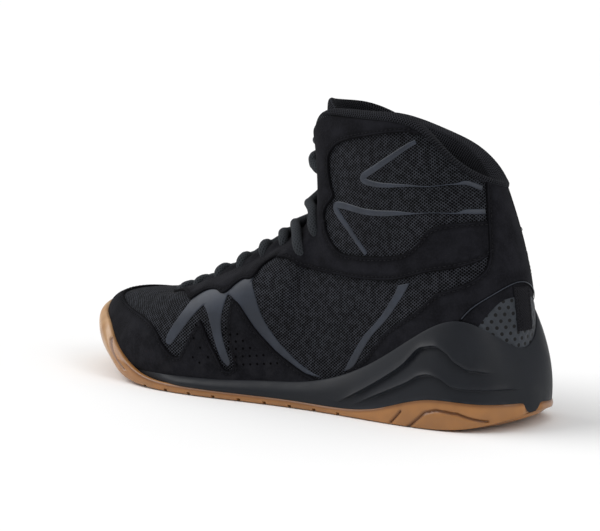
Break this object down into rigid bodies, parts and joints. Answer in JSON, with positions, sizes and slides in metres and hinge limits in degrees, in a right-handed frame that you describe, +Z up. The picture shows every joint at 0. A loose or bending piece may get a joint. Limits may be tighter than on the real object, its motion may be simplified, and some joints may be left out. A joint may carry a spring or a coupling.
{
  "type": "boxing shoe",
  "caption": "Mid-cut lace-up boxing shoe for the left foot: hollow mesh upper with suede overlays, cupped midsole and thin gum outsole, standing empty",
  "frame": {"origin": "on the floor, under the middle of the shoe's box", "axes": "+X to the toe, +Y to the shoe's outer (lateral) side, +Z up"},
  "size_m": [0.293, 0.099, 0.1592],
  "materials": {
    "gum_rubber": "satin gum rubber",
    "charcoal_foam": "matte moulded foam",
    "insole_foam": "cloth-topped foam",
    "mesh_cloth": "open black mesh",
    "lining_cloth": "padded mesh lining",
    "suede": "napped black suede",
    "grey_patch": "perforated grey film",
    "webbing": "woven black webbing",
    "lace_cord": "braided round lace",
    "tongue_cloth": "padded mesh"
  },
  "bodies": {
    "root": {"outsole": "gum_rubber", "midsole": "charcoal_foam", "insole": "insole_foam", "upper": "mesh_cloth", "collar_lining": "lining_cloth", "tongue": "tongue_cloth", "toe_cap": "suede", "heel_counter": "suede", "heel_patch": "grey_patch", "heel_strip": "webbing", "lace": "lace_cord", "side_panel_front_lateral": "suede", "side_panel_rear_lateral": "suede", "eyestay_lateral": "suede", "ankle_band_lateral": "suede", "side_panel_front_medial": "suede", "side_panel_rear_medial": "suede", "eyestay_medial": "suede", "ankle_band_medial": "suede"}
  },
  "joints": []
}
